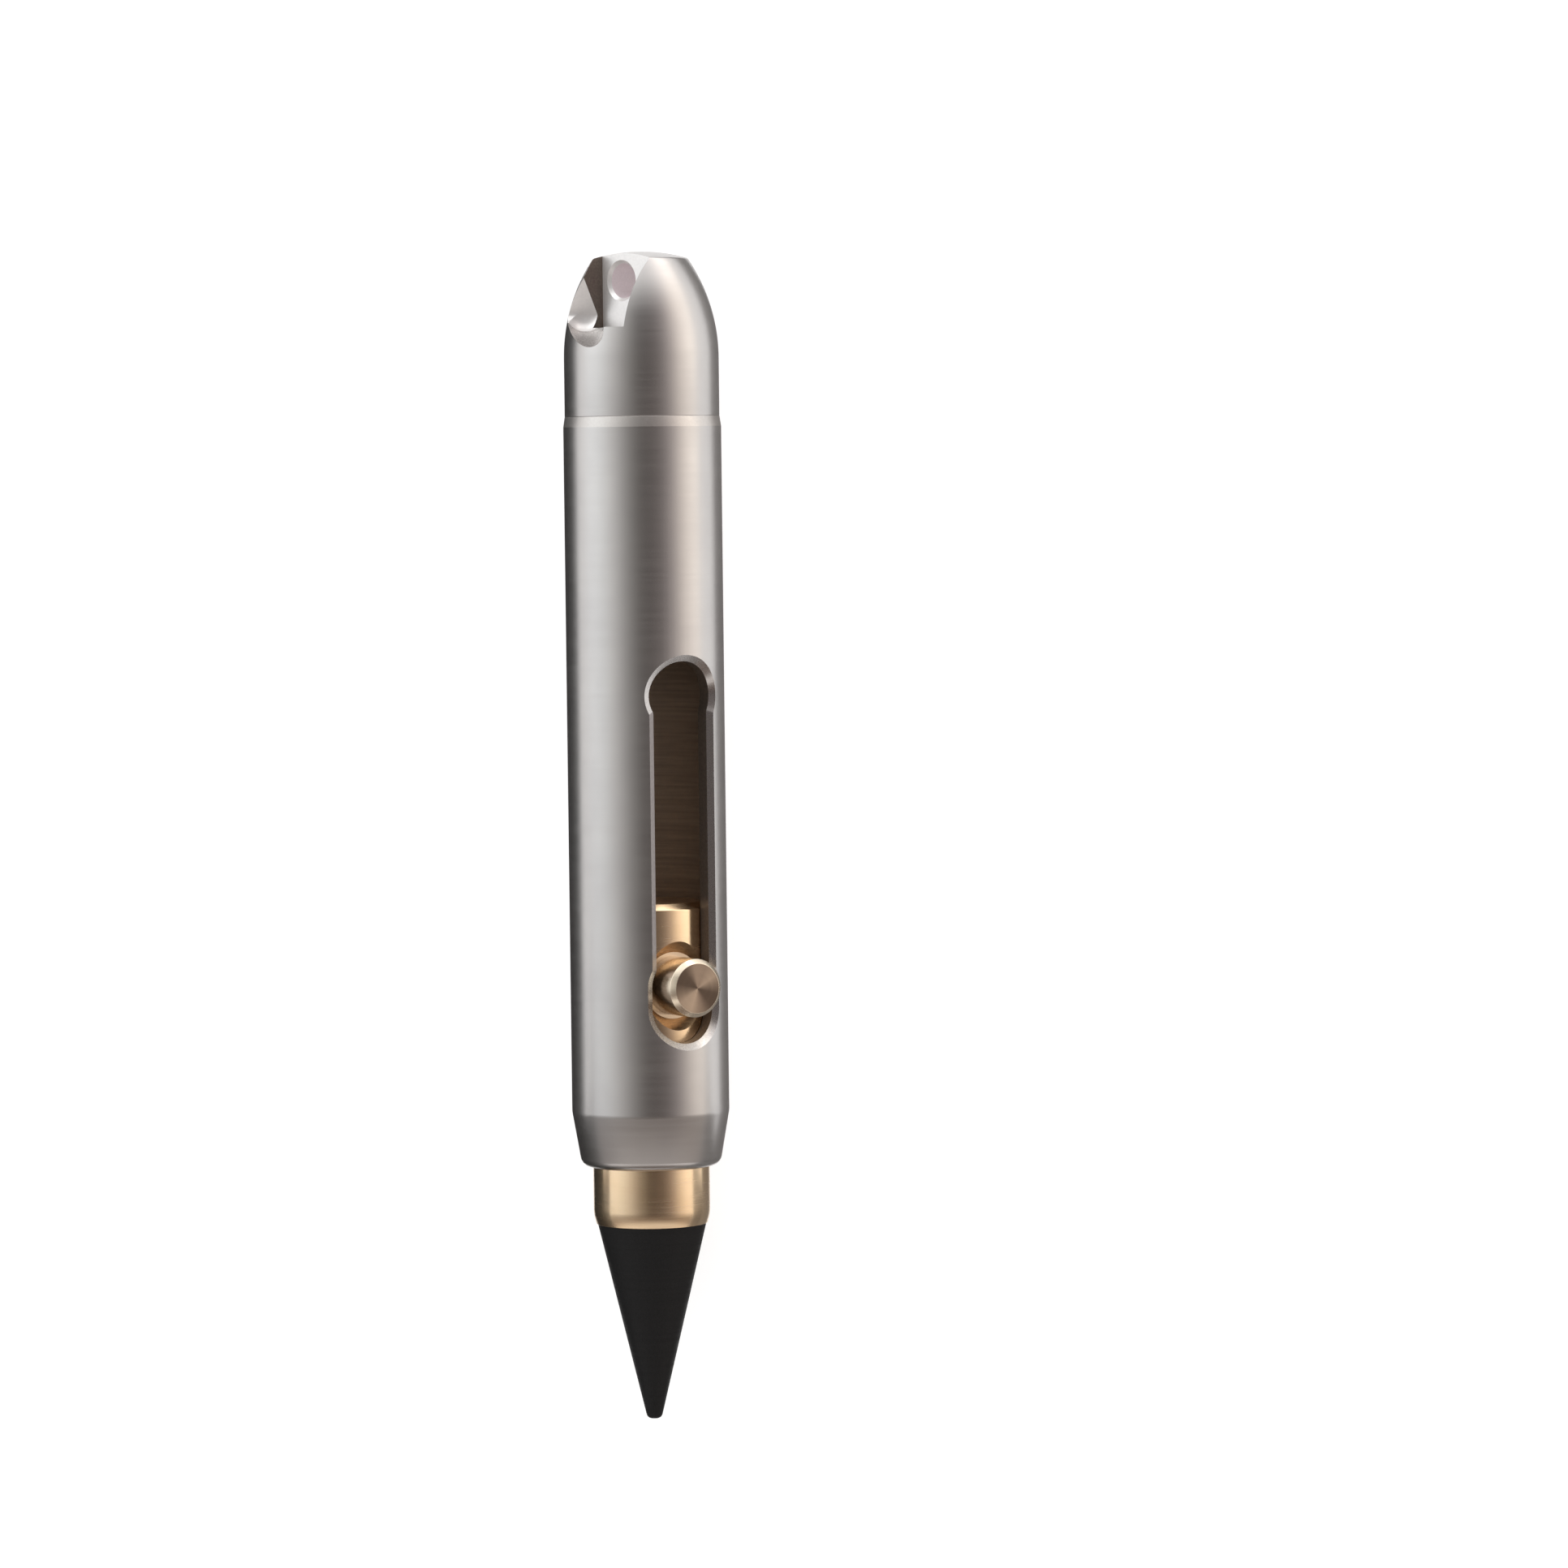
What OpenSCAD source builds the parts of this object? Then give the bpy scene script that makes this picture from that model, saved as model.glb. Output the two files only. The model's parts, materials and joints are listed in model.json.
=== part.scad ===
// Pocket pencil with a sliding bolt, lying on its side as on a desk.
// The pencil runs along X: its writing tip points to -X, its domed tail to +X, and Z is up.
// Every piece is turned about a local Z axis that starts at the barrel's mouth and runs
// to the tail, with the bolt on local +X. place() then lays the piece down.

/* [Barrel] */
// Outside diameter of the barrel
barrel_d = 10; // [9.4:0.1:13]
// Length of the barrel, from its mouth to the joint with the tail cap
barrel_len = 47.6; // [46:0.1:70]
// Diameter of the bore that the carriage slides in
bore_d = 7.5; // [7:0.1:7.6]
// Length of the tapered nose
nose_len = 3.5; // [2:0.1:5]
// How far the nose's taper draws in on the radius, at the mouth
nose_taper = 0.6; // [0.3:0.02:0.78]
// Radius of the rounded edge at the mouth
nose_round = 0.65; // [0.2:0.05:0.65]
// Bevel on the barrel's edge at the cap joint, along the axis
joint_bevel_len = 0.66; // [0.1:0.02:0.8]
// Depth of that bevel on the radius
joint_bevel_depth = 0.1; // [0.05:0.01:0.3]

/* [Bolt slot] */
// Distance from the mouth to the bolt, with the tip out for writing
bolt_z = 11.65; // [10.8:0.05:16]
// How far the bolt slides back to stow the tip
bolt_travel = 18.35; // [12:0.05:19]
// Gap between the bolt and each side of the slot
slot_gap = 0.08; // [0.06:0.01:0.3]
// How far each seat bulges past the side of the slot, to hold a turned bolt
seat_hook = 0.26; // [0.2:0.02:0.5]
// Straight run in the front seat, between its two round ends
seat_run = 1.4; // [0.4:0.1:1.4]

/* [Carriage] */
// Sliding gap on the radius, between carriage and bore
slide_gap = 0.04; // [0.02:0.01:0.08]
// Length of the carriage in front of the bolt
carriage_nose = 15.35; // [15.1:0.05:20]
// Length of the carriage behind the bolt
carriage_tail = 5.2; // [3.5:0.1:8]
// Bevel on the front edge, along the axis
front_bevel_len = 0.62; // [0.2:0.02:1]
// Depth of the front bevel on the radius
front_bevel_depth = 0.17; // [0.05:0.01:0.17]
// Bevel on the rear edge, both ways
rear_bevel = 0.4; // [0.1:0.05:0.8]
// Floor of the flat under the bolt, above the axis
bolt_flat = 3.0; // [2.6:0.1:3.2]
// Width of the ledge round the bolt on that flat
flat_ledge = 0.26; // [0.1:0.02:0.4]

/* [Drag rings] */
// Thickness of each rubber ring
ring_t = 0.8; // [0.6:0.05:0.9]
// Gap between a ring and the bore or the groove's floor
ring_gap = 0.02; // [0.01:0.01:0.04]
// Spare width of a groove, beyond the ring
groove_spare = 0.2; // [0.1:0.05:0.3]
// Wall between the nib's socket and the front groove
socket_wall = 0.65; // [0.4:0.05:0.8]
// Wall between the two grooves
groove_wall = 0.65; // [0.4:0.05:0.7]

/* [Bolt knob] */
// Diameter of the knob
knob_d = 3.7; // [3:0.02:4]
// How far the knob stands out of the barrel
knob_proud = 1.0; // [0.6:0.1:3]
// Bevel round the knob's face
knob_bevel = 0.28; // [0.1:0.02:0.5]
// Thread diameter of the knob's stem
stem_d = 2.9; // [1.6:0.1:2.9]
// Length of the stem
stem_len = 2.3; // [1.5:0.1:2.4]

/* [Nib] */
// Length of the black cone, from its tip to its widest edge
cone_len = 12.55; // [9:0.05:16]
// Diameter of the blunt tip
tip_d = 0.9; // [0.4:0.1:1.6]
// Bevel round the blunt tip
tip_bevel = 0.15; // [0.05:0.01:0.15]
// Lip of the carriage round the widest edge of the cone, on the radius
collar_lip = 0.25; // [0.25:0.01:0.4]
// Length of the cone's rear bevel, inside the carriage
back_bevel_len = 0.85; // [0.4:0.05:0.85]
// Depth of that bevel on the radius
back_bevel_depth = 0.28; // [0.1:0.02:0.4]
// Gap between the nib and its socket
nib_gap = 0.05; // [0.03:0.01:0.08]
// Length of the nib's thread
nib_thread_len = 4.1; // [2.5:0.1:4.1]
// Pitch of the nib's thread
nib_pitch = 0.5; // [0.35:0.05:0.8]
// Depth of the nib's thread
nib_thread_depth = 0.24; // [0.1:0.02:0.3]
// Length of the plain spigot behind the thread
spigot_len = 2.9; // [1.5:0.1:2.9]
// Step from the thread's crest down to the spigot
spigot_step = 0.3; // [0.2:0.02:0.6]
// Diameter of the stem glued into the cone
nib_stem_d = 3.4; // [2:0.1:3.6]
// Length of that stem
nib_stem_len = 5; // [2:0.1:6]
// Diameter of the hollow in the spigot's end
spigot_bore_d = 3.6; // [2:0.1:3.8]
// Depth of that hollow
spigot_bore_len = 2.2; // [1:0.1:4]

/* [Tail cap] */
// How far the cap is set in from the barrel, on the radius
cap_inset = 0.1; // [0.05:0.01:0.3]
// Length of the cap's straight side
cap_side_len = 3.7; // [2:0.1:8]
// Length of the domed end
dome_len = 6.7; // [6.6:0.1:10]
// Diameter of the crowned top of the dome
top_d = 5.4; // [5.3:0.1:6.4]
// Rise of the crown from that flat's edge to its middle
top_crown = 0.35; // [0.1:0.05:0.4]
// Bevel on the cap's edge at the joint
cap_bevel = 0.05; // [0.05:0.01:0.3]
// Wall of the barrel outside the cap's thread
thread_wall = 0.95; // [0.8:0.05:1]
// Length of the cap's thread
cap_thread_len = 5; // [3:0.5:5]
// Pitch of the cap's thread
cap_pitch = 0.75; // [0.5:0.05:1]
// Depth of the cap's thread
cap_thread_depth = 0.3; // [0.1:0.05:0.4]
// Gap between the cap's thread and the barrel
cap_thread_gap = 0.03; // [0.02:0.01:0.06]

/* [Hanging hole] */
// Distance from the top of the dome to the bottom of a pocket
pocket_len = 4.8; // [4:0.05:5.2]
// Upper wall of a pocket, off the middle of the web
pocket_top_wall = 2.58; // [1.6:0.02:2.6]
// Lower wall of a pocket, off the middle of the web
pocket_low_wall = 1.72; // [1.5:0.02:2.4]
// Radius of the tilted scoop outside a pocket's lower wall
scoop_r = 1.25; // [0.8:0.05:1.3]
// Distance of the scoop's middle from the pencil's axis, sideways
scoop_off = 3.5; // [3:0.05:3.6]
// Distance from the bottom of the scoop to where its outer side opens
scoop_open = 0.6; // [0.3:0.05:1.2]
// Tilt of the scoop's floor towards the tip
scoop_tilt = 19.3; // [5:0.1:25]
// Thickness of the web left between the pockets
web_t = 3.3; // [2.4:0.1:4]
// Diameter of the hanging hole through the web
hang_hole_d = 2.2; // [1.5:0.1:2.4]
// Distance from the top of the dome to the hole's centre
hang_hole_drop = 1.85; // [1.8:0.05:2.6]

/* [Pose] */
// Lean of the bolt from straight up, towards -Y
bolt_lean = 31.7; // [0:0.1:60]
// Lean of the near pocket from straight up, towards +Y
pocket_lean = 45; // [0:0.5:90]

/* [Hidden] */
$fn = 96;

titanium = [0.62, 0.60, 0.58];
brass = [0.83, 0.64, 0.38];
black_rubber = [0.10, 0.10, 0.10];
graphite = [0.15, 0.15, 0.15];

// Radii that follow from the bore and the barrel
barrel_r = barrel_d / 2;
bore_r = bore_d / 2;
carriage_r = bore_r - slide_gap;
cap_r = barrel_r - cap_inset;
top_r = top_d / 2;

// Bolt, slot and seats
knob_r = knob_d / 2;
slot_r = knob_r + slot_gap;
seat_r = slot_r + seat_hook;
slot_from = bore_r / 2;
stow_z = bolt_z + bolt_travel;
knob_face = barrel_r + knob_proud;
flat_r = knob_r + flat_ledge;
stem_r = stem_d / 2;
stem_gap = 0.02;
stem_pitch = 0.5;
stem_thread_depth = 0.2;
stem_relief = 0.3;

// Nib, from the front of the carriage backwards
front_z = bolt_z - carriage_nose;
tip_z = front_z - cone_len;
nib_back_z = front_z + back_bevel_len;
thread_end_z = nib_back_z + nib_thread_len;
spigot_end_z = thread_end_z + spigot_len;
shoulder_r = carriage_r - collar_lip;
nib_thread_r = shoulder_r - back_bevel_depth;
spigot_r = nib_thread_r - spigot_step;
socket_r = nib_thread_r + nib_gap;
spigot_edge = 0.25;
end_play = 0.2;
socket_end_z = spigot_end_z + end_play;
nib_stem_r = nib_stem_d / 2;
glue_gap = 0.02;

// Drag rings behind the socket
groove_w = ring_t + groove_spare;
groove_floor_r = bore_r - ring_t - 2 * ring_gap;
ring_mid_r = bore_r - ring_gap - ring_t / 2;
front_ring_z = socket_end_z + socket_wall + groove_w / 2;
rear_ring_z = front_ring_z + groove_w + groove_wall;

// Tail cap
joint_z = barrel_len;
dome_z = joint_z + cap_side_len;
top_z = dome_z + dome_len;
dome_drop = cap_r - top_r;
dome_arc = (dome_len * dome_len + dome_drop * dome_drop) / (2 * dome_drop);
crown_arc = (top_r * top_r + top_crown * top_crown) / (2 * top_crown);
cap_thread_r = barrel_r - thread_wall;
cap_bore_r = cap_thread_r + cap_thread_gap;
cap_bore_z = joint_z - cap_thread_len - end_play;
cap_relief = 0.5;
pocket_z = top_z - pocket_len;
cutter_reach = cap_r + 3;
hang_hole_z = top_z - hang_hole_drop;

// Shares of a pitch between which a thread has its full height
crest_start = 0.4;
crest_end = 0.6;

// Middle of the whole pencil, and how far a cutter runs past the piece it cuts
mid_z = (tip_z + top_z) / 2;
cut = 1;

// Lays a piece down along X, with the bolt leaning towards -Y.
module place() {
    translate([-mid_z, 0, barrel_r])
        rotate([0, 90, 0])
            rotate([0, 0, 180 + bolt_lean])
                children();
}

// Turns a piece round the pencil's axis so that local +X faces the near pocket.
module face_pocket() {
    rotate([0, 0, -(pocket_lean + bolt_lean)])
        children();
}

// A bar along local +X, from one distance off the axis to another.
module cross_bar(radius, from, to, at_z) {
    translate([from, 0, at_z])
        rotate([0, 90, 0])
            cylinder(r = radius, h = to - from);
}

// A box along local +X, centred on the axis sideways.
module cross_box(half_w, from, to, low_z, high_z) {
    translate([from, -half_w, low_z])
        cube([to - from, 2 * half_w, high_z - low_z]);
}

// Outline of a threaded rod, as a stack of crests one pitch apart.
module thread_outline(crest_r, depth, pitch, length) {
    turns = floor(length / pitch);
    root_r = crest_r - depth;
    square([root_r, length]);
    for (i = [0 : turns - 1])
        translate([0, i * pitch])
            polygon([[0, 0], [root_r, 0], [crest_r, pitch * crest_start],
                     [crest_r, pitch * crest_end], [root_r, pitch], [0, pitch]]);
}

// Outline of the barrel's outside: tapered nose with a rounded edge, bevel at the joint.
module barrel_outline() {
    mouth_r = barrel_r - nose_taper;
    slope = nose_taper / nose_len;
    lean = atan(slope);
    round_mid_r = mouth_r + slope * nose_round - nose_round / cos(lean);
    polygon([
        [0, 0],
        [round_mid_r, 0],
        [round_mid_r + nose_round * cos(lean), nose_round - nose_round * sin(lean)],
        [barrel_r, nose_len],
        [barrel_r, joint_z - joint_bevel_len],
        [barrel_r - joint_bevel_depth, joint_z],
        [0, joint_z]
    ]);
    translate([round_mid_r, nose_round])
        circle(r = nose_round);
}

// Straight slot with a round seat at each end; the front seat is a little longer.
module bolt_slot() {
    to = barrel_r + cut;
    cross_box(slot_r, slot_from, to, bolt_z, stow_z);
    cross_box(seat_r, slot_from, to, bolt_z - seat_run, bolt_z);
    for (z = [bolt_z - seat_run, bolt_z, stow_z])
        cross_bar(seat_r, slot_from, to, z);
}

// Tube that everything else is held in.
module barrel() {
    color(titanium)
        place()
            difference() {
                rotate_extrude()
                    difference() {
                        barrel_outline();
                        translate([0, -cut])
                            square([bore_r, joint_z + 2 * cut]);
                        translate([0, cap_bore_z])
                            square([cap_bore_r, joint_z - cap_bore_z + cut]);
                    }
                bolt_slot();
            }
}

// Outline of the cap: threaded spigot, straight side and domed end.
module cap_outline() {
    translate([0, joint_z - cap_thread_len])
        thread_outline(cap_thread_r, cap_thread_depth, cap_pitch, cap_thread_len - cap_relief);
    translate([0, joint_z - cap_relief])
        square([cap_thread_r - cap_thread_depth, cap_relief + cap_bevel]);
    polygon([[0, joint_z], [cap_r - cap_bevel, joint_z], [cap_r, joint_z + cap_bevel],
             [cap_r, dome_z], [0, dome_z]]);
    intersection() {
        translate([0, dome_z])
            square([cap_r, dome_len]);
        translate([cap_r - dome_arc, dome_z])
            circle(r = dome_arc, $fn = 360);
        translate([0, top_z - crown_arc])
            circle(r = crown_arc, $fn = 360);
    }
}

// Flat pocket through the top of the dome, milled square to the web.
module head_pocket() {
    translate([web_t / 2, -pocket_low_wall, pocket_z])
        cube([cutter_reach, pocket_low_wall + pocket_top_wall, cutter_reach]);
}

// Tilted scoop outside the pocket's lower wall, milled from straight above.
module head_scoop() {
    rotate([0, 0, pocket_lean])
        translate([0, -scoop_off, pocket_z])
            rotate([0, scoop_tilt, 0]) {
                cross_bar(scoop_r, 0, cutter_reach, scoop_r);
                cross_box(scoop_r, 0, cutter_reach, scoop_r, cutter_reach);
                translate([0, -cutter_reach, scoop_open])
                    cube([cutter_reach, cutter_reach, cutter_reach]);
            }
}

// Screwed-in domed tail, with a hole across the web between its two pockets.
module tail_cap() {
    color(titanium)
        place()
            difference() {
                rotate_extrude()
                    cap_outline();
                face_pocket() {
                    for (turn = [0, 180])
                        rotate([0, 0, turn]) {
                            head_pocket();
                            head_scoop();
                        }
                    cross_bar(hang_hole_d / 2, -web_t, web_t, hang_hole_z);
                }
            }
}

// Outline of the carriage, with its nib socket and two ring grooves.
module carriage_outline() {
    back_z = bolt_z + carriage_tail;
    difference() {
        polygon([
            [0, front_z],
            [carriage_r - front_bevel_depth, front_z],
            [carriage_r, front_z + front_bevel_len],
            [carriage_r, back_z - rear_bevel],
            [carriage_r - rear_bevel, back_z],
            [0, back_z]
        ]);
        polygon([
            [-cut, front_z - cut],
            [shoulder_r + nib_gap, front_z - cut],
            [shoulder_r + nib_gap, front_z],
            [socket_r, nib_back_z],
            [socket_r, thread_end_z + end_play],
            [spigot_r + nib_gap, thread_end_z + end_play],
            [spigot_r + nib_gap, socket_end_z],
            [-cut, socket_end_z]
        ]);
        for (z = [front_ring_z, rear_ring_z])
            translate([groove_floor_r, z - groove_w / 2])
                square([ring_t + cut, groove_w]);
    }
}

// Flat under the bolt, with a wall that flares outwards.
module bolt_seat() {
    flare = carriage_r + cut - bolt_flat;
    translate([bolt_flat, 0, bolt_z])
        rotate([0, 90, 0])
            cylinder(r1 = flat_r, r2 = flat_r + flare, h = flare);
}

// Brass slide that carries the nib in front and the bolt on its side.
module carriage() {
    color(brass)
        place()
            difference() {
                rotate_extrude()
                    carriage_outline();
                bolt_seat();
                cross_bar(stem_r + stem_gap, bolt_flat - stem_len - end_play, carriage_r, bolt_z);
            }
}

// Outline of the knob, turned about its own axis: threaded stem, head and bevelled face.
module knob_outline() {
    head_len = knob_face - bolt_flat;
    translate([0, -stem_len])
        thread_outline(stem_r, stem_thread_depth, stem_pitch, stem_len - stem_relief);
    translate([0, -stem_relief])
        square([stem_r - stem_thread_depth, stem_relief + knob_bevel]);
    polygon([[0, 0], [knob_r, 0], [knob_r, head_len - knob_bevel],
             [knob_r - knob_bevel, head_len], [0, head_len]]);
}

// Bolt that the thumb pushes, screwed into the flat on the carriage.
module bolt_knob() {
    color(brass)
        place()
            translate([bolt_flat, 0, bolt_z])
                rotate([0, 90, 0])
                    rotate_extrude()
                        knob_outline();
}

// Rubber ring that keeps the carriage from rattling and sliding by itself.
module drag_ring(at_z) {
    color(black_rubber)
        place()
            translate([0, 0, at_z])
                rotate_extrude()
                    translate([ring_mid_r, 0])
                        circle(r = ring_t / 2, $fn = 32);
}

module front_drag_ring() {
    drag_ring(front_ring_z);
}

module rear_drag_ring() {
    drag_ring(rear_ring_z);
}

// Outline of the threaded brass insert behind the writing cone.
module insert_outline() {
    difference() {
        union() {
            translate([0, nib_back_z - nib_stem_len])
                square([nib_stem_r, nib_stem_len + nib_pitch]);
            translate([0, nib_back_z])
                thread_outline(nib_thread_r, nib_thread_depth, nib_pitch, nib_thread_len);
            polygon([[0, thread_end_z - nib_pitch], [spigot_r, thread_end_z - nib_pitch],
                     [spigot_r, spigot_end_z - spigot_edge],
                     [spigot_r - spigot_edge, spigot_end_z], [0, spigot_end_z]]);
        }
        translate([-cut, spigot_end_z - spigot_bore_len])
            square([spigot_bore_d / 2 + cut, spigot_bore_len + cut]);
    }
}

// Threaded brass insert that screws the nib into the carriage.
module nib_insert() {
    color(brass)
        place()
            rotate_extrude()
                insert_outline();
}

// Outline of the black writing cone, with a socket for the insert's stem.
module cone_outline() {
    tip_r = tip_d / 2;
    difference() {
        polygon([
            [0, tip_z],
            [tip_r - tip_bevel, tip_z],
            [tip_r, tip_z + tip_bevel],
            [shoulder_r, front_z],
            [nib_thread_r, nib_back_z],
            [0, nib_back_z]
        ]);
        translate([-cut, nib_back_z - nib_stem_len - end_play])
            square([nib_stem_r + glue_gap + cut, nib_stem_len + end_play + cut]);
    }
}

// Hard graphite-alloy cone that writes.
module nib_cone() {
    color(graphite)
        place()
            rotate_extrude()
                cone_outline();
}

barrel();
tail_cap();
carriage();
bolt_knob();
front_drag_ring();
rear_drag_ring();
nib_insert();
nib_cone();
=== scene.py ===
# %% [markdown]
# # A pocket pencil with a sliding bolt
#
# The pencil is a titanium tube with a brass slide inside it. A thumb knob runs in a slot in the tube's
# side and pushes a black writing nib out or draws it back in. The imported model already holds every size
# and place, so the lesson starts by loading it as a frame. Each new piece is then made where that frame
# says, in metres, and nothing has to be fitted afterwards.

# %% Load the frame
import json
from math import acos, atan2, cos, pi, radians, sin, sqrt, tan

import bpy
from mathutils import Matrix, Vector


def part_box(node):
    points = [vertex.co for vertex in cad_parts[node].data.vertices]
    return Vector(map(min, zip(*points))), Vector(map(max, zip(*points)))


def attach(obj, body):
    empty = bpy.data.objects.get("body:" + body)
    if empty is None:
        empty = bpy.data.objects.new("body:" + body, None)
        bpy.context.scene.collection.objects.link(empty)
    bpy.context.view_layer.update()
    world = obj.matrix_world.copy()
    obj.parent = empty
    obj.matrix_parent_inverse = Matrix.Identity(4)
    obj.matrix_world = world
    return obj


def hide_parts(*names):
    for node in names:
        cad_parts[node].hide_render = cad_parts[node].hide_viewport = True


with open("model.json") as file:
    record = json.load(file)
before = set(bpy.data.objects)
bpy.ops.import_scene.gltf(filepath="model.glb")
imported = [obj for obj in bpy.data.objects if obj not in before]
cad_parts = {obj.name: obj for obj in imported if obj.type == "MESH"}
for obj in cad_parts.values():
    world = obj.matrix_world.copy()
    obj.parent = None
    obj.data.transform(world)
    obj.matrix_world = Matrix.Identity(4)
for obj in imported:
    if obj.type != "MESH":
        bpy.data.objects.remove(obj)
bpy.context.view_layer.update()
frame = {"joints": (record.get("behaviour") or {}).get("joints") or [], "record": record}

bpy.context.scene.view_settings.view_transform = "Standard"

# %% [markdown]
# ## Where things are
#
# The pencil lies along X with its tip at the low end, and its axis runs half a barrel above the desk.
# The ends of each piece are read from its node's box, and the radius of the barrel and the travel of the
# bolt from the record, so the looks follow when the model changes.

# %% Main places
MM = 0.001


def named(rows, name):
    """The row with this name."""
    return next(row for row in rows if row["name"] == name)


grip = named(frame["record"]["mounts"], "barrel_grip")
slide = named(frame["joints"], "bolt_slide")
barrel_r = grip["dims"]["r_mm"] * MM
axis_z = grip["pos_m"][2]
axis_point = Vector((0, 0, axis_z))
tailward = Vector((1, 0, 0))
upward = Vector((0, 0, 1))

mouth_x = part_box("barrel")[0].x
joint_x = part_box("barrel")[1].x
tail_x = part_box("tail_cap")[1].x
front_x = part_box("carriage")[0].x
rear_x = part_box("carriage")[1].x
tip_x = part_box("nib_cone")[0].x
bolt_x = sum(corner.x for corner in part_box("bolt_knob")) / 2
print("pencil from", round(tip_x / MM, 2), "to", round(tail_x / MM, 2), "mm, bolt at", round(bolt_x / MM, 2))

# %% [markdown]
# ## The camera
#
# The picture looks straight down on the desk, a touch from the tail's side, with the pencil upright and
# left of the middle. A long lens keeps the barrel's sides parallel, as they are in the picture. The
# camera's place follows from how many picture points one millimetre takes, and from the point of the
# desk that lies in the middle of the frame.

# %% Camera
picture_px = 1932
px_per_mm = 19.4
lens_mm = 150
sensor_mm = 36
nearest = 10 * MM
frame_centre = Vector((3.305 * MM, -8.72 * MM, axis_z))
pencil_lean = radians(0.66)
camera_tilt = radians(3)

frame_width = picture_px / px_per_mm * MM
camera_far = frame_width * lens_mm / sensor_mm
picture_right = Vector((-sin(pencil_lean), -cos(pencil_lean), 0))
desk_up = Vector((cos(pencil_lean), -sin(pencil_lean), 0))
camera_back = upward * cos(camera_tilt) + desk_up * sin(camera_tilt)
picture_up = desk_up * cos(camera_tilt) - upward * sin(camera_tilt)

bpy.ops.object.select_all(action="DESELECT")
bpy.ops.object.camera_add()
camera = bpy.context.object
camera.name = "desk_camera"
camera.data.lens = lens_mm
camera.data.sensor_width = sensor_mm
camera.data.clip_start = nearest
turn = Matrix((picture_right, picture_up, camera_back)).transposed().to_4x4()
camera.matrix_world = Matrix.Translation(frame_centre + camera_back * camera_far) @ turn
bpy.context.scene.camera = camera
print("camera", round(camera_far, 3), "m away, frame", round(frame_width / MM, 1), "mm wide")

# %% [markdown]
# ## Finishes
#
# Each finish is a small graph of nodes that reads Object coordinates, so it needs no picture and no
# unwrapping. All pieces sit at the origin, which means that X in the graph is the pencil's own axis:
# a noise that changes along X and hardly across it is a turned surface. These helpers add a node, join
# its inputs and make the few patterns that several finishes share.

# %% Helpers for finishes
def add(tree, kind, inputs=None, **settings):
    """A new node, with its inputs set to values or joined to other nodes' outputs."""
    made = tree.nodes.new(kind)
    for key, value in settings.items():
        setattr(made, key, value)
    for key, value in (inputs or {}).items():
        if isinstance(value, bpy.types.NodeSocket):
            tree.links.new(value, made.inputs[key])
        else:
            made.inputs[key].default_value = value
    return made


def new_finish(name):
    """A new material, its tree, its shader and the place of each point on the piece."""
    finish = bpy.data.materials.new(name)
    finish.use_nodes = True
    tree = finish.node_tree
    shader = tree.nodes["Principled BSDF"]
    place = add(tree, "ShaderNodeTexCoord").outputs["Object"]
    return finish, tree, shader, place


def grain(tree, place, per_metre, stretch=(1, 1, 1), detail=3):
    """Noise with this many grains to the metre, drawn out along the axes with a small stretch."""
    spot = add(tree, "ShaderNodeMapping", {"Vector": place, "Scale": stretch}).outputs["Vector"]
    noise = add(tree, "ShaderNodeTexNoise", {"Vector": spot, "Scale": per_metre, "Detail": detail})
    return noise.outputs["Fac"]


def spread(tree, value, low, high):
    """Noise values, which crowd round the middle, spread from low to high."""
    limits = {"From Min": 0.3, "From Max": 0.7, "To Min": low, "To Max": high}
    return add(tree, "ShaderNodeMapRange", {"Value": value, **limits}).outputs["Result"]


def two_tones(tree, value, first, second):
    """A colour between two, by noise."""
    share = spread(tree, value, 0, 1)
    mix = add(tree, "ShaderNodeMix", {0: share, 6: (*first, 1), 7: (*second, 1)}, data_type="RGBA")
    return mix.outputs[2]


def wire(tree, shader, inputs):
    """Sets or joins the shader's own sockets."""
    for key, value in inputs.items():
        if isinstance(value, bpy.types.NodeSocket):
            tree.links.new(value, shader.inputs[key])
        else:
            shader.inputs[key].default_value = value


def relief(tree, height, strength, depth):
    """A bump of this depth."""
    bump = add(tree, "ShaderNodeBump", {"Height": height, "Strength": strength, "Distance": depth})
    return bump.outputs["Normal"]


turned_stretch = (1, 0.03, 0.03)
print("finish helpers ready")

# %% [markdown]
# ## Titanium
#
# The barrel was turned and then blasted to a satin, so its reflections are soft and a little streaked
# round the barrel. The satin is a medium roughness with turned lines in it and a cloud of purple grey.
# The bore that no polish reaches is dull and brown. A mill came after the blasting, so its cuts differ from
# the skin: bevels are shinier, broad faces have a frost and a pale colour that is painted light, and steep
# walls are painted dark as shade. One side of the slot has a bevel painted dimmer as shade, the hole is
# painted a pale greyish pink as the light seen in it, and the bevel at the joint is painted a little paler
# as a highlight.

# %% Titanium finishes
def satin_titanium():
    finish, tree, shader, place = new_finish("satin_titanium")
    lines = grain(tree, place, 5200, turned_stretch, detail=1)
    cloud = grain(tree, place, 420, (0.6, 1, 1), detail=2)
    blast = grain(tree, place, 16000)
    wire(tree, shader, {
        "Metallic": 1.0,
        "Base Color": two_tones(tree, cloud, (0.595, 0.58, 0.57), (0.555, 0.54, 0.535)),
        "Roughness": spread(tree, lines, 0.29, 0.33),
        "Normal": relief(tree, blast, 0.12, 0.004 * MM),
    })
    return finish


def milled_titanium(name, metallic, light, dark, roughness):
    """The mark of a mill: fine grain in two close tones, as shiny as the cut left it."""
    finish, tree, shader, place = new_finish(name)
    marks = grain(tree, place, 7000, detail=2)
    wire(tree, shader, {
        "Metallic": metallic,
        "Base Color": two_tones(tree, marks, light, dark),
        "Roughness": spread(tree, marks, roughness, roughness + 0.06),
        "Normal": relief(tree, marks, 0.03, 0.002 * MM),
    })
    return finish


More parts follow.
